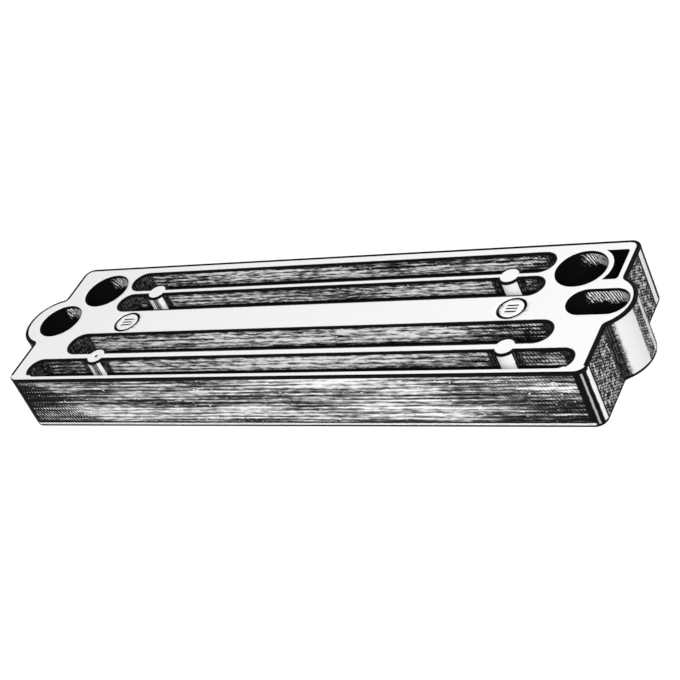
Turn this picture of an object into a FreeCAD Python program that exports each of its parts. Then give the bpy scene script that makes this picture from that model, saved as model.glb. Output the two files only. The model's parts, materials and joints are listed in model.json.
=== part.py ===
import FreeCAD, Part
import math
import os
import Sketcher
from FreeCAD import Vector

# A cast bar anode, one piece of metal. X runs along the bar, Y across it from the
# front long side to the back one, Z up. The origin is the middle of the bar's underside.
# The flat end faces lie at half of body_length each way, and a rounded lobe with a
# bolt hole stands out of each of them.

document = FreeCAD.newDocument("BarAnode")

# Driving sizes, in millimetres, and the draft in degrees
driving_sizes = {
    "body_length": 196.0,
    "body_width": 54.0,
    "thickness": 20.0,
    "corner_radius": 3.5,
    "underside_edge_radius": 1.2,
    "top_edge_radius": 0.5,
    "mouth_chamfer": 0.25,
    # walls between the slots, counted from each long side
    "front_rim": 1.9,
    "front_rib": 3.4,
    "back_rim": 4.3,
    "back_rib": 2.8,
    # long slots, from the front long side to the back one
    "front_outer_slot_width": 7.1,
    "front_inner_slot_width": 8.2,
    "back_inner_slot_width": 7.1,
    "back_outer_slot_width": 7.6,
    "front_outer_slot_left_inset": 6.3,
    "front_outer_slot_right_inset": 5.3,
    "front_inner_slot_left_inset": 16.0,
    "back_slot_inset": 24.3,
    "slot_draft": 1.0,
    # round bosses that bulge from the ribs
    "boss_radius": 3.6,
    "front_left_boss_inset": 29.5,
    "front_right_boss_inset": 26.6,
    "back_boss_inset": 36.1,
    # end lobes, on one axis that is measured from the back long side, as the large holes are
    "lobe_back_distance": 26.0,
    "lobe_notch_radius": 1.0,
    "left_lobe_radius": 11.1,
    "left_lobe_inset": 2.7,
    "lobe_hole_radius": 7.2,
    "lobe_hole_inset": 4.5,
    "right_lobe_radius": 11.2,
    "right_lobe_inset": 5.6,
    "bolt_slot_width": 10.3,
    "bolt_slot_inset": 14.4,
    # room along the bar between the front inner slot and the bolt slot
    "bolt_slot_clearance": 0.65,
    "bolt_slot_end_wall": 2.1,
    # large holes at the back corners
    "large_hole_radius": 7.5,
    "large_hole_end_wall": 7.3,
    "large_hole_back_wall": 4.2,
    # narrow pocket between the right large hole and the corner
    "pocket_end_wall": 2.9,
    "pocket_hole_wall": 1.9,
    "pocket_length": 12.3,
    "pocket_corner_radius": 0.8,
    # shallow ringed marks on the centre web
    "left_mark_inset": 32.4,
    "right_mark_inset": 30.3,
    "mark_radius": 4.5,
    "mark_groove_width": 0.9,
    "mark_depth": 0.6,
    "mark_stroke_length": 3.6,
    "mark_stroke_width": 0.6,
    "mark_stroke_pitch": 1.3,
    # small round dimple in the middle of the front left boss
    "dimple_radius": 0.5,
    "dimple_depth": 0.4,
}

sheet = document.addObject("Spreadsheet::Sheet", "Sizes")
for row, (alias, number) in enumerate(driving_sizes.items(), start=1):
    sheet.set(f"A{row}", alias.replace("_", " "))
    sheet.set(f"B{row}", str(number))
    sheet.setAlias(f"B{row}", alias)
document.recompute()

# Places worked out from the sizes, as expressions on the sheet
left_face = "-Sizes.body_length / 2"
right_face = "Sizes.body_length / 2"
front_face = "-Sizes.body_width / 2"
back_face = "Sizes.body_width / 2"
top = "Sizes.thickness"
lobe_axis = f"{back_face} - Sizes.lobe_back_distance"

front_outer_slot_edge = f"{front_face} + Sizes.front_rim"
front_outer_slot_y = f"{front_outer_slot_edge} + Sizes.front_outer_slot_width / 2"
front_rib_y = f"{front_outer_slot_edge} + Sizes.front_outer_slot_width + Sizes.front_rib / 2"
front_left_boss_x = f"{left_face} + Sizes.front_left_boss_inset"
front_inner_slot_y = f"{front_rib_y} + Sizes.front_rib / 2 + Sizes.front_inner_slot_width / 2"
front_inner_slot_right_inset = "(Sizes.bolt_slot_inset + Sizes.bolt_slot_clearance)"
web_front_edge = f"{front_inner_slot_y} + Sizes.front_inner_slot_width / 2"

back_outer_slot_edge = f"{back_face} - Sizes.back_rim"
back_outer_slot_y = f"{back_outer_slot_edge} - Sizes.back_outer_slot_width / 2"
back_rib_y = f"{back_outer_slot_edge} - Sizes.back_outer_slot_width - Sizes.back_rib / 2"
back_inner_slot_y = f"{back_rib_y} - Sizes.back_rib / 2 - Sizes.back_inner_slot_width / 2"
web_back_edge = f"{back_inner_slot_y} - Sizes.back_inner_slot_width / 2"

large_hole_inset = "(Sizes.large_hole_end_wall + Sizes.large_hole_radius)"
large_hole_left_x = f"{left_face} + {large_hole_inset}"
large_hole_right_x = f"{right_face} - {large_hole_inset}"
large_hole_y = f"{back_face} - Sizes.large_hole_back_wall - Sizes.large_hole_radius"


def value(expression):
    """The number that an expression on the sheet gives."""
    return float(sheet.evalExpression(expression))


def same(first, second):
    return abs(first - second) < 0.001


def new_sketch(body, name, height=None):
    """A sketch on the body's own XY plane, or at a height above it."""
    sketch = body.newObject("Sketcher::SketchObject", name)
    planes = [feature for feature in body.Origin.OriginFeatures if feature.Role == "XY_Plane"]
    sketch.AttachmentSupport = [(planes[0], "")]
    sketch.MapMode = "FlatFace"
    if height is not None:
        sketch.setExpression("AttachmentOffset.Base.z", height)
    return sketch


def bind(sketch, constraint, expression):
    """Add a dimension and tie it to the sheet."""
    index = sketch.addConstraint(constraint)
    sketch.setExpression(f"Constraints[{index}]", expression)


def locate(sketch, geometry, point, x=None, y=None):
    """Dimension a point of the sketch from the origin."""
    if x is not None:
        bind(sketch, Sketcher.Constraint("DistanceX", -1, 1, geometry, point, value(x)), x)
    if y is not None:
        bind(sketch, Sketcher.Constraint("DistanceY", -1, 1, geometry, point, value(y)), y)


def add_circle(sketch, x, y, radius):
    centre = Vector(value(x), value(y), 0)
    circle = sketch.addGeometry(Part.Circle(centre, Vector(0, 0, 1), value(radius)))
    bind(sketch, Sketcher.Constraint("Radius", circle, value(radius)), radius)
    locate(sketch, circle, 3, x, y)


def add_chain(sketch, corners):
    """Straight lines through the corners and back to the first one."""
    lines = []
    for start, end in zip(corners, corners[1:] + corners[:1]):
        lines.append(sketch.addGeometry(Part.LineSegment(start, end)))
    for line, following in zip(lines, lines[1:] + lines[:1]):
        sketch.addConstraint(Sketcher.Constraint("Coincident", line, 2, following, 1))
    return lines


def add_rectangle(sketch, x_low, x_high, y_low, y_high):
    corners = [
        Vector(value(x_low), value(y_low), 0),
        Vector(value(x_high), value(y_low), 0),
        Vector(value(x_high), value(y_high), 0),
        Vector(value(x_low), value(y_high), 0),
    ]
    lines = add_chain(sketch, corners)
    for line in lines[0::2]:
        sketch.addConstraint(Sketcher.Constraint("Horizontal", line))
    for line in lines[1::2]:
        sketch.addConstraint(Sketcher.Constraint("Vertical", line))
    locate(sketch, lines[0], 1, x_low, y_low)
    locate(sketch, lines[2], 1, x_high, y_high)


def add_slot(sketch, x_low, x_high, y, width):
    """A slot with round ends, along X."""
    radius = value(width) / 2
    left_centre = Vector(value(x_low) + radius, value(y), 0)
    right_centre = Vector(value(x_high) - radius, value(y), 0)
    rise = Vector(0, radius, 0)
    round_left = Part.Circle(left_centre, Vector(0, 0, 1), radius)
    round_right = Part.Circle(right_centre, Vector(0, 0, 1), radius)
    quarter = math.pi / 2
    left = sketch.addGeometry(Part.ArcOfCircle(round_left, quarter, 3 * quarter))
    right = sketch.addGeometry(Part.ArcOfCircle(round_right, -quarter, quarter))
    lower = sketch.addGeometry(Part.LineSegment(left_centre - rise, right_centre - rise))
    upper = sketch.addGeometry(Part.LineSegment(right_centre + rise, left_centre + rise))
    sketch.addConstraint(Sketcher.Constraint("Tangent", left, 2, lower, 1))
    sketch.addConstraint(Sketcher.Constraint("Tangent", lower, 2, right, 1))
    sketch.addConstraint(Sketcher.Constraint("Tangent", right, 2, upper, 1))
    sketch.addConstraint(Sketcher.Constraint("Tangent", upper, 2, left, 1))
    sketch.addConstraint(Sketcher.Constraint("Horizontal", lower))
    sketch.addConstraint(Sketcher.Constraint("Horizontal", upper))
    bind(sketch, Sketcher.Constraint("Radius", left, radius), f"({width}) / 2")
    locate(sketch, left, 3, f"{x_low} + ({width}) / 2", y)
    locate(sketch, right, 3, f"{x_high} - ({width}) / 2")


def finish(feature, change):
    """Recompute, and stop if the feature failed or changed the volume the wrong way."""
    document.recompute()
    if "Invalid" in feature.State or "Error" in feature.State or feature.Shape.isNull():
        raise RuntimeError(f"{feature.Label} failed: {feature.State}")
    before = feature.BaseFeature.Shape.Volume if feature.BaseFeature else 0.0
    if (feature.Shape.Volume - before) * change <= 0:
        raise RuntimeError(f"{feature.Label} did not change the solid as it should")
    print(f"{feature.Label}: volume {feature.Shape.Volume:.1f}")
    return feature


def pad(body, name, sketch, length, downwards=False):
    feature = body.newObject("PartDesign::Pad", name)
    feature.Profile = sketch
    feature.Reversed = downwards
    feature.setExpression("Length", length)
    return finish(feature, 1)


def pocket(body, name, sketch, depth=None, draft=None):
    """A cut downwards from the sketch, right through where no depth is given."""
    feature = body.newObject("PartDesign::Pocket", name)
    feature.Profile = sketch
    feature.Type = "Length"
    feature.setExpression("Length", depth if depth else top)
    if draft:
        feature.setExpression("TaperAngle", f"-{draft} * 1 deg")
    return finish(feature, -1)


def upright_edges(shape, test):
    """Names of the straight edges along Z whose place x, y passes the test."""
    names = []
    for number, edge in enumerate(shape.Edges, start=1):
        box = edge.BoundBox
        upright = box.XLength < 0.001 and box.YLength < 0.001 and box.ZLength > 0.001
        if upright and test(box.XMin, box.YMin):
            names.append(f"Edge{number}")
    return names


def edges_at(shape, height):
    """Names of the edges that lie wholly at one height."""
    names = []
    for number, edge in enumerate(shape.Edges, start=1):
        box = edge.BoundBox
        if same(box.ZMin, height) and same(box.ZMax, height):
            names.append(f"Edge{number}")
    return names


def mouth_edges(shape, height):
    """Names of the edges round every opening in the flat face at one height."""
    level_faces = []
    for face in shape.Faces:
        box = face.BoundBox
        if same(box.ZMin, height) and same(box.ZMax, height):
            level_faces.append(face)
    widest = max(level_faces, key=lambda face: face.Area)
    outer = widest.OuterWire
    names = []
    for wire in widest.Wires:
        if wire.isSame(outer):
            continue
        for edge in wire.Edges:
            for number, candidate in enumerate(shape.Edges, start=1):
                if candidate.isSame(edge):
                    names.append(f"Edge{number}")
    return names


def round_edges(body, name, base, edge_names, radius, change):
    feature = body.newObject("PartDesign::Fillet", name)
    feature.Base = (base, edge_names)
    feature.setExpression("Radius", radius)
    return finish(feature, change)


def bevel_edges(body, name, base, edge_names, size):
    feature = body.newObject("PartDesign::Chamfer", name)
    feature.Base = (base, edge_names)
    feature.setExpression("Size", size)
    return finish(feature, -1)


def make_blank(body):
    """The bar with its two lobes, its rounded corners and its outer edges."""
    outline = new_sketch(body, "BarOutline")
    add_rectangle(outline, left_face, right_face, front_face, back_face)
    pad(body, "Bar", outline, top)

    lobes = new_sketch(body, "LobeOutlines")
    left_x = f"{left_face} + Sizes.left_lobe_inset"
    right_x = f"{right_face} - Sizes.right_lobe_inset"
    add_circle(lobes, left_x, lobe_axis, "Sizes.left_lobe_radius")
    add_circle(lobes, right_x, lobe_axis, "Sizes.right_lobe_radius")
    bar = pad(body, "Lobes", lobes, top)

    end_x = value(right_face)
    side_y = value(back_face)
    notches = upright_edges(bar.Shape, lambda x, y: same(abs(x), end_x) and not same(abs(y), side_y))
    bar = round_edges(body, "LobeNotches", bar, notches, "Sizes.lobe_notch_radius", 1)
    corners = upright_edges(bar.Shape, lambda x, y: same(abs(x), end_x) and same(abs(y), side_y))
    bar = round_edges(body, "Corners", bar, corners, "Sizes.corner_radius", -1)

    underside = edges_at(bar.Shape, 0)
    bar = round_edges(body, "UndersideEdge", bar, underside, "Sizes.underside_edge_radius", -1)
    upper = edges_at(bar.Shape, value(top))
    round_edges(body, "TopEdge", bar, upper, "Sizes.top_edge_radius", -1)


def cut_long_slots(body):
    """Four slots along the bar, drawn in a little towards the underside by their draft."""
    slots = new_sketch(body, "LongSlotOutlines", top)
    outer_insets = ("Sizes.front_outer_slot_left_inset", "Sizes.front_outer_slot_right_inset")
    inner_insets = ("Sizes.front_inner_slot_left_inset", front_inner_slot_right_inset)
    back_insets = ("Sizes.back_slot_inset", "Sizes.back_slot_inset")
    rows = [
        (front_outer_slot_y, "Sizes.front_outer_slot_width", outer_insets),
        (front_inner_slot_y, "Sizes.front_inner_slot_width", inner_insets),
        (back_inner_slot_y, "Sizes.back_inner_slot_width", back_insets),
        (back_outer_slot_y, "Sizes.back_outer_slot_width", back_insets),
    ]
    for y, width, (left_inset, right_inset) in rows:
        add_slot(slots, f"{left_face} + {left_inset}", f"{right_face} - {right_inset}", y, width)
    pocket(body, "LongSlots", slots, draft="Sizes.slot_draft")

    bosses = new_sketch(body, "BossOutlines", top)
    add_circle(bosses, front_left_boss_x, front_rib_y, "Sizes.boss_radius")
    add_circle(bosses, f"{right_face} - Sizes.front_right_boss_inset", front_rib_y, "Sizes.boss_radius")
    add_circle(bosses, f"{left_face} + Sizes.back_boss_inset", back_rib_y, "Sizes.boss_radius")
    add_circle(bosses, f"{right_face} - Sizes.back_boss_inset", back_rib_y, "Sizes.boss_radius")
    pad(body, "RibBosses", bosses, top, downwards=True)


def cut_corner_pocket(body):
    """The pocket is a narrow rectangle, partly filled again by the wall round the large hole."""
    outline = new_sketch(body, "CornerPocketOutline", top)
    pocket_right = f"{right_face} - Sizes.pocket_end_wall"
    pocket_front = f"{back_outer_slot_edge} - Sizes.pocket_length"
    add_rectangle(outline, large_hole_right_x, pocket_right, pocket_front, back_outer_slot_edge)
    bar = pocket(body, "CornerPocket", outline)
    corner_x = value(pocket_right)
    corners = upright_edges(bar.Shape, lambda x, y: same(x, corner_x))
    round_edges(body, "PocketCorners", bar, corners, "Sizes.pocket_corner_radius", 1)

    wall = new_sketch(body, "LargeHoleWallOutline", top)
    wall_radius = "Sizes.large_hole_radius + Sizes.pocket_hole_wall"
    add_circle(wall, large_hole_right_x, large_hole_y, wall_radius)
    pad(body, "LargeHoleWall", wall, top, downwards=True)


def cut_holes(body):
    large = new_sketch(body, "LargeHoleCircles", top)
    for x in (large_hole_left_x, large_hole_right_x):
        add_circle(large, x, large_hole_y, "Sizes.large_hole_radius")
    pocket(body, "LargeHoles", large)

    lobe_hole = new_sketch(body, "LobeHoleCircle", top)
    add_circle(lobe_hole, f"{left_face} + Sizes.lobe_hole_inset", lobe_axis, "Sizes.lobe_hole_radius")
    pocket(body, "LobeHole", lobe_hole)

    bolt_slot = new_sketch(body, "BoltSlotOutline", top)
    lobe_tip = f"{right_face} - Sizes.right_lobe_inset + Sizes.right_lobe_radius"
    slot_start = f"{right_face} - Sizes.bolt_slot_inset"
    slot_end = f"{lobe_tip} - Sizes.bolt_slot_end_wall"
    add_slot(bolt_slot, slot_start, slot_end, lobe_axis, "Sizes.bolt_slot_width")
    pocket(body, "BoltSlot", bolt_slot)


def cut_marks(body):
    """A ring groove with three short strokes in it, near each end of the centre web."""
    web_y = f"({web_front_edge} + {web_back_edge}) / 2"
    marks = new_sketch(body, "MarkOutlines", top)
    for x in (f"{left_face} + Sizes.left_mark_inset", f"{right_face} - Sizes.right_mark_inset"):
        add_circle(marks, x, web_y, "Sizes.mark_radius")
        add_circle(marks, x, web_y, "Sizes.mark_radius - Sizes.mark_groove_width")
        for step in (-1, 0, 1):
            stroke_y = f"{web_y} + {step} * Sizes.mark_stroke_pitch"
            half_length = "Sizes.mark_stroke_length / 2"
            low = f"{x} - {half_length}"
            high = f"{x} + {half_length}"
            add_slot(marks, low, high, stroke_y, "Sizes.mark_stroke_width")
    pocket(body, "Marks", marks, depth="Sizes.mark_depth")

    dimple = new_sketch(body, "DimpleCircle", top)
    add_circle(dimple, front_left_boss_x, front_rib_y, "Sizes.dimple_radius")
    pocket(body, "Dimple", dimple, depth="Sizes.dimple_depth")


def make_anode_casting():
    body = document.addObject("PartDesign::Body", "AnodeCasting")
    body.Label = "anode_casting"
    make_blank(body)
    cut_corner_pocket(body)
    cut_long_slots(body)
    cut_holes(body)
    base = body.Tip
    mouths = mouth_edges(base.Shape, value(top)) + mouth_edges(base.Shape, 0)
    bevel_edges(body, "MouthChamfers", base, mouths, "Sizes.mouth_chamfer")
    cut_marks(body)
    return body


anode_casting = make_anode_casting()
document.recompute()

for item in document.Objects:
    if "Invalid" in item.State or "Error" in item.State:
        raise RuntimeError(f"{item.Label} is in state {item.State}")

shape = anode_casting.Shape
if shape.isNull() or not shape.isValid() or len(shape.Solids) != 1:
    raise RuntimeError(f"{anode_casting.Label} is not one valid solid")
box = shape.optimalBoundingBox(True, False)
print(f"{anode_casting.Label}: {box.XLength:.2f} x {box.YLength:.2f} x {box.ZLength:.2f}")
print(f"X {box.XMin:.2f} to {box.XMax:.2f}, volume {shape.Volume:.1f}")

os.makedirs("parts", exist_ok=True)
shape.exportStep(f"parts/{anode_casting.Label}.step")
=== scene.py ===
import json
import math
from types import SimpleNamespace

import bmesh
import bpy
import numpy as np
from mathutils import Matrix, Vector
from mathutils.kdtree import KDTree


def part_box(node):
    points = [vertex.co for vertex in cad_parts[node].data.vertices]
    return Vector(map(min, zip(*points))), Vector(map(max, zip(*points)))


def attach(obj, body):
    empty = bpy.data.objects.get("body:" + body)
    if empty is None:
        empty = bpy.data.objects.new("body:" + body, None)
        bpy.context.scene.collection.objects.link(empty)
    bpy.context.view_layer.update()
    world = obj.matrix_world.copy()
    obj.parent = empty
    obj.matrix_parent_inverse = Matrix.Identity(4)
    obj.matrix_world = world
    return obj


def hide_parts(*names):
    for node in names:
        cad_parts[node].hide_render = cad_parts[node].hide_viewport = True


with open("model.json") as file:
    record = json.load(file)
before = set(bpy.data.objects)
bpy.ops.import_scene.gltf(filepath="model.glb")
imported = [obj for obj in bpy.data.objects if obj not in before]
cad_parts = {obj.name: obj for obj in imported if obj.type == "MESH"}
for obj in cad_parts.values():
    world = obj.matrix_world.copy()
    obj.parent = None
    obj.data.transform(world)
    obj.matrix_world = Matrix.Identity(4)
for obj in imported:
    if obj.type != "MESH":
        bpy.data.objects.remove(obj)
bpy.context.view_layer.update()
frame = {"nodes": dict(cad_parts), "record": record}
castNode = frame["nodes"]["anode_casting"]
barLow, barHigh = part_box("anode_casting")
barTop = barHigh.z  # the ground face that carries the marks
print("frame loaded, bar", round(barHigh.x - barLow.x, 4), "m over its lobes")


# Wires: sockets that work in plain arithmetic

class Wire:
    def __init__(self, tree, socket=None):
        self.tree = tree
        self.socket = socket

    def node(self, kind, settings=None, inputs=None, out=0):
        made = self.tree.nodes.new(kind)
        for name, value in (settings or {}).items():
            if name == "stops":
                layRamp(made.color_ramp, value)
            else:
                setattr(made, name, value)
        for name, value in (inputs or {}).items():
            if isinstance(value, Wire):
                self.tree.links.new(value.socket, made.inputs[name])
            else:
                made.inputs[name].default_value = value
        return Wire(self.tree, made.outputs[out] if len(made.outputs) else None)

    def other(self, out):
        return Wire(self.tree, self.socket.node.outputs[out])

    def maths(self, operation, *values):
        return self.node("ShaderNodeMath", {"operation": operation}, dict(enumerate(values)))

    def __add__(self, other):
        return self.maths("ADD", self, other)

    def __radd__(self, other):
        return self.maths("ADD", other, self)

    def __sub__(self, other):
        return self.maths("SUBTRACT", self, other)

    def __rsub__(self, other):
        return self.maths("SUBTRACT", other, self)

    def __mul__(self, other):
        return self.maths("MULTIPLY", self, other)

    def __rmul__(self, other):
        return self.maths("MULTIPLY", other, self)

    def __neg__(self):
        return self.maths("MULTIPLY", self, -1.0)

    def __abs__(self):
        return self.maths("ABSOLUTE", self)


def layRamp(ramp, stops):
    while len(ramp.elements) < len(stops):
        ramp.elements.new(1.0)
    for element, (place, grey) in zip(ramp.elements, stops):
        element.position = place
        element.color = (grey, grey, grey, 1.0)


def rise(wire, low, high):  # 0 below low, 1 above high, smooth between
    limits = {"Value": wire, "From Min": low, "From Max": high, "To Min": 0.0, "To Max": 1.0}
    return wire.node("ShaderNodeMapRange", {"interpolation_type": "SMOOTHSTEP"}, limits)


def fall(wire, low, high):  # 1 below low, 0 above high
    return 1.0 - rise(wire, low, high)


def larger(one, other):
    return one.maths("MAXIMUM", one, other)


def ramp(wire, *stops):
    return wire.node("ShaderNodeValToRGB", {"stops": stops}, {"Fac": wire})


def between(mask, low, high):  # low where the mask is 0, high where it is 1
    return low + (high - low) * mask


def stretched(place, lengths):  # a place counted in grains of these lengths
    counts = tuple(1.0 / length for length in lengths)
    return place.node("ShaderNodeVectorMath", {"operation": "MULTIPLY"}, {0: place, 1: counts})


def grain(place, lengths, detail, rough, seed):
    settings = {"noise_dimensions": "4D"}
    inputs = {"Vector": stretched(place, lengths), "W": seed, "Scale": 1.0}
    inputs.update({"Detail": detail, "Roughness": rough})
    return place.node("ShaderNodeTexNoise", settings, inputs)


def lines(distance, pitch):  # even lines, 0 in a groove and 1 on a ridge
    return 0.5 + 0.5 * distance.maths("SINE", distance * (2.0 * math.pi / pitch))


# Mould marks: the same grain shapes the skin and colours it. A grain is lengths, detail, roughness and seed

mouldMarks = {
    "drawMark": ((0.045, 0.006, 0.0011), 3.0, 0.6, 4.0),  # long shallow marks along the bar
    "crumb": ((0.0016, 0.0016, 0.0016), 2.0, 0.6, 5.0),  # rough skin of the end faces
    "swell": ((0.030, 0.018, 0.018), 1.0, 0.5, 6.0),  # slow unevenness of a cast wall
}


# Casting mesh: the frame's shape, cut into a fine grid

castingGrid = {
    "along": 0.0020,
    "across": 0.0020,
    "up": 0.0005,
    "merge": 1e-6,
    "flatAngle": math.radians(0.4),
    "sharpAngle": math.radians(38.0),
    "rimBand": 0.0008,  # width of the ring that carries the skin left along the rims of the ground face
    "slotSkin": 0.25,  # how far that skin reaches at a slot; it is 1 along the outline
    "frontBright": 0.0026,  # the front edge stays bright over this width
    "narrowBand": 0.65,  # the rings are this much narrower there, where two of them share a thin web
}

wallKinds = {
    "cutShare": 0.47,  # the level of the cut that shows the walls in plan, as a share of the thickness
    "levelShare": 0.7,  # a face that leans less than this is wall
    "step": 0.00025,
    "turnReach": 0.0022,  # how far along the wall a bend is felt
    "cornerRadius": 0.0035,  # a wall this round has a turn of 1, and -1 if hollow
    "lobeRadii": (0.009, 0.016),
    "boreLength": 0.030,  # an opening shorter than this is a bore, a longer one a slot
    "outerLength": 0.200,
}


def isGround(vert):
    return barTop - vert.co.z < castingGrid["merge"]


def rimLoops(rim):  # the rim edges of the ground face, one list for each closed loop
    inRim = set(rim)
    reached = set()
    loops = []
    for first in rim:
        if first in reached:
            continue
        reached.add(first)
        loop = [first]
        for edge in loop:
            for vert in edge.verts:
                for near in vert.link_edges:
                    if near in inRim and near not in reached:
                        reached.add(near)
                        loop.append(near)
        loops.append(loop)
    return loops


def lengthOf(loop):
    places = [vert.co.x for edge in loop for vert in edge.verts]
    return max(places) - min(places)


def bandRims(bm):  # a narrow ring of faces just inside the outline of the ground face and beside each slot
    skin = bm.verts.layers.float.new("skin")
    top = [face for face in bm.faces if all(isGround(vert) for vert in face.verts)]
    inTop = set(top)
    rim = [edge for edge in bm.edges if sum(face in inTop for face in edge.link_faces) == 1]
    amounts = {}
    plain = []
    for loop in rimLoops(rim):
        if lengthOf(loop) < wallKinds["boreLength"]:
            plain += loop
            continue
        amount = 1.0 if lengthOf(loop) > wallKinds["outerLength"] else castingGrid["slotSkin"]
        for edge in loop:
            for vert in edge.verts:
                onFront = vert.co.y < barLow.y + castingGrid["frontBright"]
                amounts[vert.co.to_tuple(6)] = 0.0 if onFront else amount
    filled = bmesh.ops.triangle_fill(bm, edges=plain, use_beauty=False, use_dissolve=False)
    made = [item for item in filled["geom"] if isinstance(item, bmesh.types.BMFace)]
    caps = [face for face in made if face not in inTop]
    band = bmesh.ops.inset_region(bm, faces=top + caps, thickness=castingGrid["rimBand"],
                                  use_boundary=True, use_even_offset=True)
    partners = {}
    for face in band["faces"]:
        for vert in face.verts:
            vert[skin] = amounts.get(vert.co.to_tuple(6), 0.0)
        for edge in face.edges:
            edge.seam = True
            outer = [vert for vert in edge.verts if vert.co.to_tuple(6) in amounts]
            if len(outer) == 1:
                partners[edge.other_vert(outer[0])] = outer[0].co
    for vert, rimPlace in partners.items():
        if rimPlace.y < barLow.y + castingGrid["frontBright"]:
            vert.co = rimPlace + (vert.co - rimPlace) * castingGrid["narrowBand"]
    bmesh.ops.delete(bm, geom=caps, context="FACES")


def wallLoops(bm):  # the walls in plan, from one level cut: a closed run of points each
    level = bm.copy()
    everything = level.verts[:] + level.edges[:] + level.faces[:]
    place = Vector((0.0, 0.0, barTop * wallKinds["cutShare"]))
    upward = Vector((0.0, 0.0, 1.0))
    cut = bmesh.ops.bisect_plane(level, geom=everything, dist=1e-7, plane_co=place, plane_no=upward)
    ahead = {}
    for edge in cut["geom_cut"]:
        if isinstance(edge, bmesh.types.BMEdge):
            first, second = edge.verts
            normal = edge.link_faces[0].normal
            along = (second.co - first.co).dot(Vector((-normal.y, normal.x, 0.0)))  # metal on the left
            if along < 0.0:
                first, second = second, first
            ahead[first] = second
    loops = []
    while ahead:
        first, vert = ahead.popitem()
        points = [first.co.to_2d()]
        while vert in ahead:
            points.append(vert.co.to_2d())
            vert = ahead.pop(vert)
        loops.append(np.array(points))
    level.free()
    return loops


def bendsOf(points):  # the turn at each point of a closed run, positive round an outward corner
    back = points - np.roll(points, 1, axis=0)
    front = np.roll(points, -1, axis=0) - points
    cross = back[:, 0] * front[:, 1] - back[:, 1] * front[:, 0]
    return np.arctan2(cross, (back * front).sum(axis=1))


def walkLoop(points):  # places at even steps along a loop, with how round the wall is and if it is a lobe
    points = points[np.linalg.norm(points - np.roll(points, 1, axis=0), axis=1) > castingGrid["merge"] * 5.0]
    points = points[np.abs(bendsOf(points)) > castingGrid["flatAngle"]]
    bends = bendsOf(points)
    runs = np.roll(points, -1, axis=0) - points
    lengths = np.linalg.norm(runs, axis=1)
    starts = np.concatenate([[0.0], np.cumsum(lengths)[:-1]])
    samples = np.arange(0.0, lengths.sum(), wallKinds["step"])
    gaps = np.abs(samples[:, None] - starts[None, :])
    gaps = np.minimum(gaps, lengths.sum() - gaps)
    reach = wallKinds["turnReach"]
    turns = (np.clip(1.0 - gaps / reach, 0.0, None) * bends).sum(axis=1) / reach * wallKinds["cornerRadius"]
    member = np.searchsorted(starts, samples, side="right") - 1
    places = points[member] + runs[member] * ((samples - starts[member]) / lengths[member])[:, None]
    radii = lengths / np.maximum((bends + np.roll(bends, -1)) / 2.0, 1e-6)
    low, high = wallKinds["lobeRadii"]
    lobes = ((radii > low) & (radii < high))[member]
    span = points[:, 0].max() - points[:, 0].min()
    bore = float(span < wallKinds["boreLength"])
    inside = float(span < wallKinds["outerLength"])
    width = points[:, 1].max() - points[:, 1].min()
    walk = zip(places, turns, lobes)
    return [(place, (turn, float(lobe), bore, inside, width)) for place, turn, lobe in walk]


def noteWalls(bm, loops):  # gives each wall vertex the notes of the nearest place in the plan
    noted = [note for loop in loops for note in walkLoop(loop)]
    plan = KDTree(len(noted))
    for i, (place, notes) in enumerate(noted):
        plan.insert((place[0], place[1], 0.0), i)
    plan.balance()
    names = ("turn", "lobe", "bore", "inside", "width")
    for name in names:
        bm.verts.layers.float.new(name)
    layers = [bm.verts.layers.float[name] for name in names]
    for vert in bm.verts:
        if any(abs(face.normal.z) < wallKinds["levelShare"] for face in vert.link_faces):
            nearest = plan.find((vert.co.x, vert.co.y, 0.0))[1]
            for layer, amount in zip(layers, noted[nearest][1]):
                vert[layer] = amount


def cutAcross(bm, axis, low, high, step):
    normal = Vector([float(i == axis) for i in range(3)])
    count = math.ceil((high - low) / step)
    for i in range(1, count):
        everything = bm.verts[:] + bm.edges[:] + bm.faces[:]
        place = normal * (low + (high - low) * i / count)
        cut = bmesh.ops.bisect_plane(bm, geom=everything, dist=1e-7, plane_co=place, plane_no=normal)
        for item in cut["geom_cut"]:
            if isinstance(item, bmesh.types.BMEdge):
                item.seam = True


def griddedCasting(cadMesh):
    bm = bmesh.new()
    bm.from_mesh(cadMesh)
    bmesh.ops.remove_doubles(bm, verts=bm.verts[:], dist=castingGrid["merge"])
    bandRims(bm)
    loops = wallLoops(bm)
    cutAcross(bm, 2, barLow.z, barHigh.z, castingGrid["up"])
    cutAcross(bm, 0, barLow.x, barHigh.x, castingGrid["along"])
    cutAcross(bm, 1, barLow.y, barHigh.y, castingGrid["across"])
    bmesh.ops.dissolve_limit(bm, angle_limit=castingGrid["flatAngle"], use_dissolve_boundaries=False,
                             verts=bm.verts[:], edges=bm.edges[:], delimit={"SEAM"})
    many = [face for face in bm.faces if len(face.verts) > 4]
    bmesh.ops.triangulate(bm, faces=many)
    noteWalls(bm, loops)
    ground = bm.verts.layers.float.new("ground")
    for vert in bm.verts:
        vert[ground] = float(isGround(vert))
    for edge in bm.edges:
        edge.seam = False
    for face in bm.faces:
        face.smooth = True
    return bm


# Skin: a node tree that presses the marks into the casting

skinSizes = {
    "Draw Mark Depth": 0.00009,
    "Crumb Depth": 0.00010,
    "Swell Depth": 0.00010,
    "Ground Wave Depth": 0.00002,
    "Rim Margin": 0.0012,
    "Thickness": barTop,
}


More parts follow.
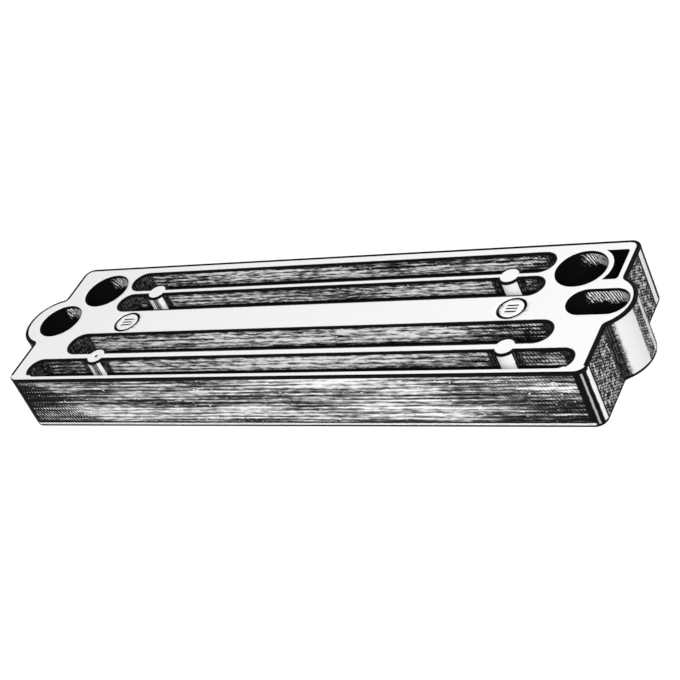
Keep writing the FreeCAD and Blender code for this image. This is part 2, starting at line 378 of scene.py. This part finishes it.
def skinTree():
    tree = bpy.data.node_groups.new("castSkin", "GeometryNodeTree")
    tree.interface.new_socket("Casting", in_out="INPUT", socket_type="NodeSocketGeometry")
    for name in skinSizes:
        tree.interface.new_socket(name, in_out="INPUT", socket_type="NodeSocketFloat")
    tree.interface.new_socket("Material", in_out="INPUT", socket_type="NodeSocketMaterial")
    tree.interface.new_socket("Casting", in_out="OUTPUT", socket_type="NodeSocketGeometry")
    start = Wire(tree)
    given = start.node("NodeGroupInput")
    place = start.node("GeometryNodeInputPosition")
    facing = start.node("GeometryNodeInputNormal")
    sides = start.node("ShaderNodeSeparateXYZ", inputs={"Vector": facing})
    height = start.node("ShaderNodeSeparateXYZ", inputs={"Vector": place}).other("Z")
    ground = start.node("GeometryNodeInputNamedAttribute", inputs={"Name": "ground"})
    longWall = rise(abs(sides.other("Y")), 0.6, 0.95)
    marks = grain(place, *mouldMarks["drawMark"]) * longWall * given.other("Draw Mark Depth")
    crumbs = grain(place, *mouldMarks["crumb"]) * (1.0 - longWall) * given.other("Crumb Depth")
    swelling = grain(place, *mouldMarks["swell"])
    swell = swelling * given.other("Swell Depth")
    margin = given.other("Rim Margin")
    clear = rise(given.other("Thickness") - height, 0.0, margin) * rise(height, 0.0, margin)
    wall = (marks + crumbs + swell) * clear
    waves = swelling * ground * given.other("Ground Wave Depth")
    press = {0: facing, "Scale": -(wall + waves)}
    inward = start.node("ShaderNodeVectorMath", {"operation": "SCALE"}, press)
    pressed = start.node("GeometryNodeSetPosition", inputs={"Geometry": given, "Offset": inward})
    real = start.node("GeometryNodeRealizeInstances", inputs={"Geometry": pressed})
    paint = {"Geometry": real, "Material": given.other("Material")}
    painted = start.node("GeometryNodeSetMaterial", inputs=paint)
    start.node("NodeGroupOutput", inputs={"Casting": painted})
    return tree


def dressedCasting(material):
    bm = griddedCasting(castNode.data)
    rough = bpy.data.meshes.new("castingGrid")
    bm.to_mesh(rough)
    bm.free()
    rough.set_sharp_from_angle(angle=castingGrid["sharpAngle"])
    holder = bpy.data.objects.new("castingGrid", rough)
    bpy.context.scene.collection.objects.link(holder)
    skin = holder.modifiers.new("castSkin", "NODES")
    skin.node_group = skinTree()
    for item in skin.node_group.interface.items_tree:
        if item.in_out == "INPUT" and item.name in skinSizes:
            skin[item.identifier] = skinSizes[item.name]
        if item.in_out == "INPUT" and item.name == "Material":
            skin[item.identifier] = material
    normals = holder.modifiers.new("evenNormals", "WEIGHTED_NORMAL")
    normals.keep_sharp = True
    normals.weight = 80
    finished = bpy.data.meshes.new_from_object(holder.evaluated_get(bpy.context.evaluated_depsgraph_get()))
    finished.name = "castAnode"
    bpy.data.objects.remove(holder)
    piece = bpy.data.objects.new("castAnode", finished)
    bpy.context.scene.collection.objects.link(piece)
    return piece


# Cast zinc: a bright ground face and dark streaky walls, partly a ground finish against cast skin and partly
# painted light and shade, with painted highlights on the outward rounds

zincFinish = {
    "dark": (0.0022, 0.0022, 0.0024, 1.0),
    "light": (0.94, 0.94, 0.935, 1.0),
    "metal": 0.05,
    "gloss": 0.05,
    "wallRoughness": 0.66,
    "groundRoughness": 0.60,
    "bumpDepth": 0.00008,
    "bumpStrength": 0.4,
    "wallSides": (0.6, 0.9),  # a face that looks this much to the front or back is long wall
    "hatchPitch": 0.0011,  # slanting strokes
    "ragged": ((0.0012, 0.0012, 0.0012), 2.0, 0.6, 17.0),  # makes the edges of all marks waver
}

wallStrokes = {
    "cloud": ((0.050, 0.030, 0.008), 2.0, 0.5, 12.0),
    "cloudShare": 0.75,
    "thread": ((0.020, 0.004, 0.0006), 3.0, 0.65, 11.0),
    "threadShare": 0.75,
    "drawShare": 0.45,
    "dash": ((0.0032, 0.004, 0.0006), 2.0, 0.6, 18.0),
    "dashShares": (0.55, 0.95),  # on the outer walls and in a slot
    "lift": (-0.018, 0.018),  # on the outer walls and in a slot; painted light: the slot walls are lifted lighter against their shade
    "linePitch": 0.00135,
    "lineShare": 0.12,
    "wobble": ((0.060, 0.030, 0.012), 1.0, 0.5, 15.0),
    "wobbleReach": 0.0012,
    "shift": ((0.004, 0.004, 0.002), 2.0, 0.6, 19.0),
    "shiftReach": 0.0016,
    "hatchSlope": 0.45,
    "hatchShares": (0.20, 0.15),  # on the outer walls and in a slot
    # painted shade: the outer walls and the slots darken towards their ends, in slanting strokes
    "farRight": (0.045, 0.100),
    "rightShare": 0.45,
    "farLeft": (0.084, 0.102),
    "leftSlope": 1.2,  # the left hatch reaches further in towards the underside
    "leftShares": (0.05, 0.70),  # between its strokes and in them
    "slotEnd": (0.050, 0.078),
    # painted light: the outer walls are lighter around this place, over this reach
    "middlePlace": 0.028,
    "middleReach": (0.015, 0.075),
    "middleLift": 0.055,
    # the walls' greys sit well below the ground face's: partly cast skin, partly painted shade
    "greys": ((0.30, 0.0), (0.42, 0.05), (0.50, 0.20), (0.58, 0.52), (0.68, 0.95)),
    "speck": ((0.0013, 0.0013, 0.0006), 1.0, 0.5, 16.0),
    "brightSpeck": (0.70, 0.74),
    "brightGrey": 0.95,
    "darkSpeck": (0.26, 0.29),
}

# painted shade: the end faces' greys run darker than the long walls'
endStrokes = {
    "speck": ((0.0007, 0.0007, 0.0009), 2.0, 0.6, 13.0),
    "crumbShare": 0.9,
    "speckShare": 1.0,
    "weavePitch": 0.85,  # in hatch pitches
    "weaveSlope": 0.7,
    "weaveShare": 0.26,
    "greys": ((0.36, 0.0), (0.48, 0.035), (0.58, 0.24), (0.72, 0.80)),
}


def note(start, name):  # one of the numbers stored on the mesh
    return start.node("ShaderNodeAttribute", {"attribute_name": name}, out="Fac")


def clean(wire):  # a note as a mask
    return rise(wire, 0.4, 0.6)


def spotOn(start):  # all that the finish reads at a place on the casting
    place = start.node("ShaderNodeTexCoord", out="Object")
    sides = start.node("ShaderNodeSeparateXYZ", inputs={"Vector": place.other("Normal")})
    parts = start.node("ShaderNodeSeparateXYZ", inputs={"Vector": place})
    spot = SimpleNamespace(place=place, x=parts, y=parts.other("Y"), height=parts.other("Z"))
    spot.depth = barTop - spot.height
    spot.rightward = sides
    spot.backward = sides.other("Y")
    spot.upward = sides.other("Z")
    for name in ("turn", "lobe", "bore", "inside", "width", "ground", "skin"):
        setattr(spot, name, note(start, name))
    spot.longWall = rise(abs(spot.backward), *zincFinish["wallSides"])
    spot.ragged = grain(place, *zincFinish["ragged"]) - 0.5
    spot.inSlot = clean(spot.inside)
    spot.outer = 1.0 - spot.inSlot
    return spot


def paintedEndShade(spot):  # painted shade: how much the slanting strokes darken the ends of the outer walls and of the slots
    outside = 1.0 - spot.inside
    shift = grain(spot.place, *wallStrokes["shift"]) * wallStrokes["shiftReach"]
    hatch = lines(spot.x + spot.height * wallStrokes["hatchSlope"] + shift, zincFinish["hatchPitch"])
    farRight = rise(spot.x, *wallStrokes["farRight"]) * outside
    farLeft = rise(spot.depth * wallStrokes["leftSlope"] - spot.x, *wallStrokes["farLeft"]) * outside
    slotEnd = rise(abs(spot.x), *wallStrokes["slotEnd"]) * spot.inside
    shade = farRight * wallStrokes["rightShare"] + slotEnd
    shade = shade * hatch * between(spot.inside, *wallStrokes["hatchShares"])
    return shade + farLeft * between(hatch, *wallStrokes["leftShares"])


def longWallTone(spot):  # fine lines along the bar, broken by clouds, dashes and specks, with painted light that lifts the middle of the outer walls and the slot walls
    drawMark = grain(spot.place, *mouldMarks["drawMark"]) - 0.5
    cloud = grain(spot.place, *wallStrokes["cloud"]) - 0.5
    thread = grain(spot.place, *wallStrokes["thread"]) - 0.5
    dash = grain(spot.place, *wallStrokes["dash"]) - 0.5
    wobble = grain(spot.place, *wallStrokes["wobble"]) * wallStrokes["wobbleReach"]
    fineLines = lines(spot.height + wobble, wallStrokes["linePitch"]) - 0.5
    fromMiddle = abs(spot.x - wallStrokes["middlePlace"])
    middle = fall(fromMiddle, *wallStrokes["middleReach"]) * (1.0 - spot.inside)
    tone = drawMark * wallStrokes["drawShare"] + thread * wallStrokes["threadShare"]
    tone = tone + cloud * wallStrokes["cloudShare"] + fineLines * wallStrokes["lineShare"]
    tone = tone + dash * between(spot.inside, *wallStrokes["dashShares"])
    tone = tone + middle * wallStrokes["middleLift"] + between(spot.inside, *wallStrokes["lift"])
    tone = tone - paintedEndShade(spot)
    grey = ramp(tone + 0.5, *wallStrokes["greys"])
    speck = grain(spot.place, *wallStrokes["speck"])
    speckled = between(rise(speck, *wallStrokes["brightSpeck"]), grey, wallStrokes["brightGrey"])
    return between(fall(speck, *wallStrokes["darkSpeck"]), speckled, 0.0)


def shadedEndTone(spot):  # painted shade: the end faces are a darker hatched skin than the long walls
    pitch = zincFinish["hatchPitch"] * endStrokes["weavePitch"]
    aslant = spot.y * endStrokes["weaveSlope"]
    weave = lines(aslant + spot.height, pitch) * lines(aslant - spot.height, pitch) - 0.25
    crumb = grain(spot.place, *mouldMarks["crumb"]) - 0.5
    speck = grain(spot.place, *endStrokes["speck"]) - 0.5
    tone = crumb * endStrokes["crumbShare"] + speck * endStrokes["speckShare"]
    tone = tone + weave * endStrokes["weaveShare"]
    return ramp(tone + 0.5, *endStrokes["greys"])


# Painted shade: hollow corners and the slots' depths are painted dark, with a faint upright hatch

hollowShadeMarks = {
    "uprightPitch": 0.8,  # in hatch pitches
    "uprightSlope": 0.6,
    "waver": 0.0012,
    "turnRagged": 0.2,
    "turns": (0.15, 0.45),  # how hollow a wall is where the painted shade starts and where it is full
    "grey": 0.16,
    "breaks": (-0.15, 0.25),
    "deepShare": 0.735,  # a slot's walls are painted black as shade from this share of its width down
    "deepLess": 1.6,  # the share's change for each metre towards the back
    "deepRagged": 0.0006,
    "deepFade": 0.0004,
    "wideSlot": -0.0105,  # the slot whose walls are bright for a little longer before the painted shade
    "wideReach": (0.0045, 0.0060),
    "wideExtra": 0.0004,
}


def uprightHatch(spot):
    aslant = spot.x + spot.y * hollowShadeMarks["uprightSlope"] + spot.ragged * hollowShadeMarks["waver"]
    return lines(aslant, zincFinish["hatchPitch"] * hollowShadeMarks["uprightPitch"])


def paintedHollowShade(spot, tone):
    grey = uprightHatch(spot) * rise(spot.ragged, *hollowShadeMarks["breaks"]) * hollowShadeMarks["grey"]
    hollow = rise(spot.ragged * hollowShadeMarks["turnRagged"] - spot.turn, *hollowShadeMarks["turns"])
    tone = between(hollow, tone, grey)
    share = hollowShadeMarks["deepShare"] - spot.y * hollowShadeMarks["deepLess"]
    wide = fall(abs(spot.y - hollowShadeMarks["wideSlot"]), *hollowShadeMarks["wideReach"])
    reach = spot.width * share + wide * hollowShadeMarks["wideExtra"]
    past = spot.depth + spot.ragged * hollowShadeMarks["deepRagged"] - reach
    return between(rise(past, 0.0, hollowShadeMarks["deepFade"]) * spot.inSlot, tone, 0.0)


# Painted highlights: the outward corners, a strip near the back, the bosses in the slots and the lobes

highlightMarks = {
    "turnRagged": 0.1,
    "cornerRagged": 0.06,
    "cornerTurns": (0.30, 0.45),
    "corner": ((0.11, 0.0), (0.15, 0.80), (0.48, 0.80), (0.53, 0.0), (0.76, 0.0), (0.80, 0.40), (0.85, 0.40),
               (0.89, 0.0)),  # greys from a corner's end side to its long side
    "stripPlace": 0.0036,  # how far the painted highlight strip on an end face lies from the back side
    "strip": ((0.0, 0.0), (0.03, 0.80), (0.21, 0.80), (0.24, 0.0)),  # greys by centimetres past that place
    "stripEnd": (0.29, 0.32),
    "stripRagged": 0.0003,
    "roundRagged": 0.04,  # on the bosses and lobes
    "bossTurns": (0.05, 0.25),
    "flankTurns": (-0.6, -0.4),
    "flankSides": (0.30, 0.40),
    "bossHatch": 0.35,
    "leftBoss": ((0.18, 0.0), (0.22, 1.0), (0.47, 1.0), (0.50, 0.0), (0.72, 0.0), (0.75, 1.0), (0.97, 1.0)),
    "rightBoss": ((0.28, 0.0), (0.32, 1.0), (0.92, 1.0), (0.95, 0.0)),
    "lobeTurns": (0.0, 0.2),
    "lobe": ((0.11, 0.0), (0.15, 1.0), (0.36, 1.0), (0.40, 0.08), (0.52, 0.0), (0.54, 0.95), (0.615, 0.95),
             (0.635, 0.0)),  # how bright the painted highlight on a lobe is from its front to its back
    "lobeGreys": (0.7, 0.72),  # what is left of the darker end tone there, and the painted highlight's grey
}


def paintedCornerHighlights(spot, tone):  # a painted highlight line down each outer corner, dark at either side
    grey = ramp(abs(spot.backward) + spot.ragged * highlightMarks["cornerRagged"], *highlightMarks["corner"])
    corner = rise(spot.turn + spot.ragged * highlightMarks["turnRagged"], *highlightMarks["cornerTurns"])
    return between(corner * (1.0 - spot.lobe) * spot.outer, tone, grey)


# a painted highlight strip on each end face near the back
def paintedStripHighlights(spot, tone):
    past = barHigh.y - spot.y + spot.ragged * highlightMarks["stripRagged"] - highlightMarks["stripPlace"]
    past = past * 100.0
    edge = fall(past, *highlightMarks["stripEnd"])
    return between(edge * (1.0 - spot.longWall) * spot.outer, tone, ramp(past, *highlightMarks["strip"]))


def paintedBossHighlights(spot, tone):  # painted highlights on the bosses in the slots; those on the left have a hatched middle
    across = spot.rightward * 0.5 + 0.5 + spot.ragged * highlightMarks["roundRagged"]
    hatched = uprightHatch(spot) * highlightMarks["bossHatch"]
    left = between(ramp(across, *highlightMarks["leftBoss"]), hatched, 1.0)
    right = ramp(across, *highlightMarks["rightBoss"])
    flank = rise(abs(spot.rightward), *highlightMarks["flankSides"])
    flank = flank * rise(spot.turn, *highlightMarks["flankTurns"])
    bulge = rise(spot.turn + spot.ragged * highlightMarks["turnRagged"], *highlightMarks["bossTurns"])
    onRight = rise(spot.x, -0.01, 0.01)
    return between(larger(flank, bulge) * spot.inSlot, tone, between(onRight, left, right))


# a painted highlight band across each lobe, with darker flanks
def paintedLobeHighlights(spot, tone, endShadeTone):
    across = spot.backward * 0.5 + 0.5 + spot.ragged * highlightMarks["roundRagged"]
    lobeHighlight = ramp(across, *highlightMarks["lobe"])
    kept, bright = highlightMarks["lobeGreys"]
    onLobe = clean(spot.lobe) * rise(spot.turn, *highlightMarks["lobeTurns"])
    return between(onLobe, tone, between(lobeHighlight, endShadeTone * kept, bright))


# Bores are painted black as shade, but for a painted highlight of slanting strokes under their mouths, and
# the corner pocket is painted black all over

boreMarks = {
    "pocketBeyond": (0.0082, 0.0088),  # the pocket lies this far from the large right hole's axis
    "pocketRight": (0.0, 0.001),
    "pocketBack": (-0.005, -0.004),
    "mouth": (0.0009, 0.0012),
    "mouthRagged": 0.0010,
    "reach": (0.0034, 0.0050),
    "reachRagged": 0.005,
    "backSides": (-0.60, -0.30),  # which way the walls with the painted highlight strokes look
    "rightSides": (-0.45, -0.10),
    "sideRagged": 0.3,
    "breaks": (-0.25, 0.05),
    "strokePitch": 0.65,  # in hatch pitches
    "strokeSlopes": (0.8, 0.3),
    "strokeWaver": 0.0009,
    "strokeWidth": (0.30, 0.70),
}


def cornerPocket(spot):
    hole = next(mount["pos_m"] for mount in frame["record"]["mounts"] if mount["name"] == "large_hole_right")
    right, back = spot.x - hole[0], spot.y - hole[1]
    low, high = boreMarks["pocketBeyond"]
    beyond = rise(right * right + back * back, low ** 2, high ** 2)
    return beyond * rise(right, *boreMarks["pocketRight"]) * rise(back, *boreMarks["pocketBack"])


def paintedBoreShadeAndHighlight(spot, tone):
    ragged = spot.ragged
    sideRagged = ragged * boreMarks["sideRagged"]
    litPatch = fall(spot.depth - ragged * boreMarks["reachRagged"], *boreMarks["reach"])
    litPatch = litPatch * rise(spot.depth + ragged * boreMarks["mouthRagged"], *boreMarks["mouth"])
    litPatch = litPatch * rise(ragged, *boreMarks["breaks"])
    litPatch = litPatch * fall(spot.backward - sideRagged, *boreMarks["backSides"])
    litPatch = litPatch * rise(sideRagged - spot.rightward, *boreMarks["rightSides"])
    level, upright = boreMarks["strokeSlopes"]
    aslant = (spot.x - spot.y) * level + spot.height * upright + ragged * boreMarks["strokeWaver"]
    strokes = lines(aslant, zincFinish["hatchPitch"] * boreMarks["strokePitch"])
    litPatch = litPatch * rise(strokes, *boreMarks["strokeWidth"])
    return between(clean(spot.bore), tone, litPatch * (1.0 - cornerPocket(spot)))


# Rim, foot, underside and ground face

edgeMarks = {
    "rimDepth": 0.0007,  # dark skin just under the ground face
    "frontRimDepth": 0.0013,
    "rimRagged": 0.0003,
    "fade": 0.0002,
    # the sole below these heights is painted black, as shade under the bar
    "soleHeights": (0.00117, 0.0013),
    "footHeights": (0.0018, 0.00207),  # painted highlight band under the long walls
    "footLine": 0.0025,
    "footRagged": 0.0005,
    "footGrey": 0.80,
    "footBlotches": 0.8,
    "footSides": (0.15, 0.40),
    "levelSides": (0.6, 0.8),
    "underSides": (-0.9, -0.8),
    "underGrey": 0.62,
    "underCrumbs": 0.5,
    "topGrain": ((0.006, 0.003, 0.003), 4.0, 0.6, 14.0),
    "topGrey": 0.965,
    "topShare": 0.04,
    "skins": (0.04, 0.12),
    "skinRagged": 0.06,
    "frontRoundSides": (0.3, 0.5),
    "frontRoundGround": (0.02, 0.04),
    "wholeGround": (0.75, 0.95),
}


def frontBright(spot):
    edge = barLow.y + castingGrid["frontBright"]
    return fall(spot.y, edge - edgeMarks["fade"], edge)


def darkRim(spot, tone):
    reach = between(frontBright(spot), edgeMarks["rimDepth"], edgeMarks["frontRimDepth"])
    above = reach - spot.depth + spot.ragged * edgeMarks["rimRagged"]
    return between(rise(above, 0.0, edgeMarks["fade"]), tone, 0.0)


# a painted highlight band along the foot of the outer walls, a dark line above it and painted shade on the
# sole below
def paintedFootHighlight(spot, tone):
    low = spot.height + spot.ragged * edgeMarks["footRagged"]
    along = fall(abs(spot.rightward), *edgeMarks["footSides"])
    lineTop = between(along, edgeMarks["soleHeights"][1], edgeMarks["footLine"])
    line = fall(low - lineTop, 0.0, edgeMarks["fade"])
    foot = fall(low, *edgeMarks["footHeights"])
    sole = fall(spot.height, *edgeMarks["soleHeights"])
    grey = edgeMarks["footGrey"] + spot.ragged * edgeMarks["footBlotches"]
    tone = between(line * spot.outer, tone, 0.0)
    tone = between(foot * along * spot.outer, tone, grey)
    return between(sole * spot.outer, tone, 0.0)


def groundAndLitBright(spot):  # the ground face, partly a ground finish and partly painted light that makes the top lighter than the walls, and the front edge that is bright with it
    frontRound = frontBright(spot) * rise(spot.upward, *edgeMarks["frontRoundSides"])
    frontRound = frontRound * rise(spot.ground, *edgeMarks["frontRoundGround"])
    return larger(frontRound, rise(spot.ground, *edgeMarks["wholeGround"]))


def levelFaces(spot, tone, bright):
    crumb = grain(spot.place, *mouldMarks["crumb"]) - 0.5
    under = edgeMarks["underGrey"] + crumb * edgeMarks["underCrumbs"]
    topGrain = grain(spot.place, *edgeMarks["topGrain"]) - 0.5
    ground = edgeMarks["topGrey"] + topGrain * edgeMarks["topShare"]
    skinned = rise(spot.skin + spot.ragged * edgeMarks["skinRagged"], *edgeMarks["skins"])
    tone = between(rise(spot.upward, *edgeMarks["levelSides"]), tone, 0.0)
    tone = between(fall(spot.upward, *edgeMarks["underSides"]), tone, under)
    return between(bright, tone, between(skinned, ground, 0.0))


def castZinc():
    material = bpy.data.materials.new("castZinc")
    material.use_nodes = True
    material.node_tree.nodes.clear()
    start = Wire(material.node_tree)
    spot = spotOn(start)
    endShadeTone = shadedEndTone(spot)
    tone = between(spot.longWall, endShadeTone, longWallTone(spot))
    for mark in (paintedHollowShade, paintedCornerHighlights, paintedStripHighlights, paintedBossHighlights):
        tone = mark(spot, tone)
    tone = paintedLobeHighlights(spot, tone, endShadeTone)
    for mark in (paintedBoreShadeAndHighlight, darkRim, paintedFootHighlight):
        tone = mark(spot, tone)
    bright = groundAndLitBright(spot)
    tone = levelFaces(spot, tone, bright)
    greys = {0: tone, 6: zincFinish["dark"], 7: zincFinish["light"]}
    colour = start.node("ShaderNodeMix", {"data_type": "RGBA"}, greys, out=2)
    bumps = {"Height": tone * (1.0 - bright), "Distance": zincFinish["bumpDepth"],
             "Strength": zincFinish["bumpStrength"]}
    finish = {
        "Base Color": colour,
        "Roughness": between(bright, zincFinish["wallRoughness"], zincFinish["groundRoughness"]),
        "Metallic": tone * zincFinish["metal"],
        "Normal": start.node("ShaderNodeBump", inputs=bumps),
        "Specular IOR Level": zincFinish["gloss"],
    }
    surface = start.node("ShaderNodeBsdfPrincipled", inputs=finish)
    start.node("ShaderNodeOutputMaterial", inputs={"Surface": surface})
    return material


zinc = castZinc()
anode = dressedCasting(zinc)
print("casting dressed,", sum(len(face.vertices) - 2 for face in anode.data.polygons), "triangles")
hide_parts("anode_casting")
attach(anode, "root")


# Floor, light and camera

studio = {
    "floorRadius": 4.0,
    "floorGrey": 0.55,
    "floorGlow": 0.60,
    "skyStrength": 0.32,
    "keyWatts": 19.0,
    "lampSize": 0.7,
    "keyAzimuth": 38.0,
    "keyElevation": 37.0,
    "fillWatts": 9.0,
    "fillAzimuth": 168.0,
    "fillElevation": 12.0,
    "lampDistance": 1.3,
}


def layFloor():
    mesh = bpy.data.meshes.new("floor")
    bm = bmesh.new()
    bmesh.ops.create_circle(bm, cap_ends=True, segments=64, radius=studio["floorRadius"])
    bm.to_mesh(mesh)
    bm.free()
    floor = bpy.data.objects.new("floor", mesh)
    bpy.context.scene.collection.objects.link(floor)
    material = bpy.data.materials.new("paleFloor")
    material.use_nodes = True
    material.node_tree.nodes.clear()
    start = Wire(material.node_tree)
    paint = start.node("ShaderNodeBsdfDiffuse", inputs={"Color": (studio["floorGrey"],) * 3 + (1.0,)})
    glow = start.node("ShaderNodeEmission", inputs={"Strength": plainView(start) * studio["floorGlow"]})
    both = start.node("ShaderNodeAddShader", inputs={0: paint, 1: glow})
    start.node("ShaderNodeOutputMaterial", inputs={"Surface": both})
    mesh.materials.append(material)


def plainView(start):  # 1 for what is seen, also in a gloss or through glass
    seen = start.node("ShaderNodeLightPath", out="Is Camera Ray")
    return larger(seen, larger(seen.other("Is Glossy Ray"), seen.other("Is Transmission Ray")))


def lightSky():
    world = bpy.data.worlds.new("paleSky")
    world.use_nodes = True
    world.node_tree.nodes.clear()
    start = Wire(world.node_tree)
    strength = studio["skyStrength"] + plainView(start) * (1.0 - studio["skyStrength"])
    sky = start.node("ShaderNodeBackground", inputs={"Strength": strength})
    start.node("ShaderNodeOutputWorld", inputs={"Surface": sky})
    bpy.context.scene.world = world


def towards(azimuth, elevation):  # azimuth 0 looks from the front, 90 from the bolt slot's end
    turn, tilt = math.radians(azimuth), math.radians(elevation)
    return Vector((math.sin(turn) * math.cos(tilt), -math.cos(turn) * math.cos(tilt), math.sin(tilt)))


def hangLamp(name):
    light = bpy.data.lights.new(name + "Light", "AREA")
    light.shape = "DISK"
    light.size = studio["lampSize"]
    light.energy = studio[name + "Watts"]
    lamp = bpy.data.objects.new(name + "Light", light)
    aside = towards(studio[name + "Azimuth"], studio[name + "Elevation"])
    lamp.location = aside * studio["lampDistance"]
    lamp.rotation_mode = "QUATERNION"
    lamp.rotation_quaternion = aside.to_track_quat("Z", "Y")
    bpy.context.scene.collection.objects.link(lamp)


viewOfAnode = {
    "aim": (0.0057, 0.0026, 0.0075),
    "distance": 0.5417,
    "azimuth": 39.72,
    "elevation": 33.51,
    "lean": 26.17,
    "lens": 97.33,
}


def placeCamera():
    back = towards(viewOfAnode["azimuth"], viewOfAnode["elevation"])
    level = back.to_track_quat("Z", "Y").to_matrix().to_4x4()
    lean = Matrix.Rotation(-math.radians(viewOfAnode["lean"]), 4, "Z")
    data = bpy.data.cameras.new("camera")
    data.lens = viewOfAnode["lens"]
    camera = bpy.data.objects.new("camera", data)
    place = Vector(viewOfAnode["aim"]) + back * viewOfAnode["distance"]
    camera.matrix_world = Matrix.Translation(place) @ level @ lean
    bpy.context.scene.collection.objects.link(camera)
    bpy.context.scene.camera = camera


layFloor()
lightSky()
hangLamp("key")
hangLamp("fill")
placeCamera()
bpy.context.scene.view_settings.view_transform = "Standard"
print("floor, light and camera set")
